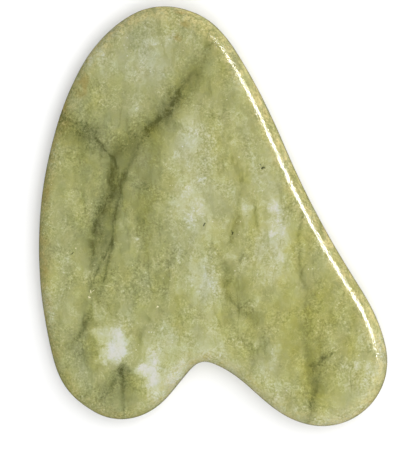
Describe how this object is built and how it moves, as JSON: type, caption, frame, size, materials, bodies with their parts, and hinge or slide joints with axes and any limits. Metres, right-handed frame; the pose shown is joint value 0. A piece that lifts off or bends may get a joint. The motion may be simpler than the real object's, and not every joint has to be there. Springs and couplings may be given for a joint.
{
  "type": "gua sha scraper",
  "caption": "Flat hand-held massage board of polished jade with a rounded edge, a broad lobe at one end and a hollow notch between smaller lobes at the other.",
  "frame": {"origin": "middle of the plate's outline, on the flat back face that it lies on", "axes": "+Z out of the front face, +Y along the plate towards the single broad lobe, -Y out of the notch, +X towards the longer of the two lower lobes"},
  "size_m": [0.0616, 0.073, 0.006],
  "materials": {
    "jade": "polished"
  },
  "bodies": {
    "root": {"jade_plate": "jade"}
  },
  "joints": []
}
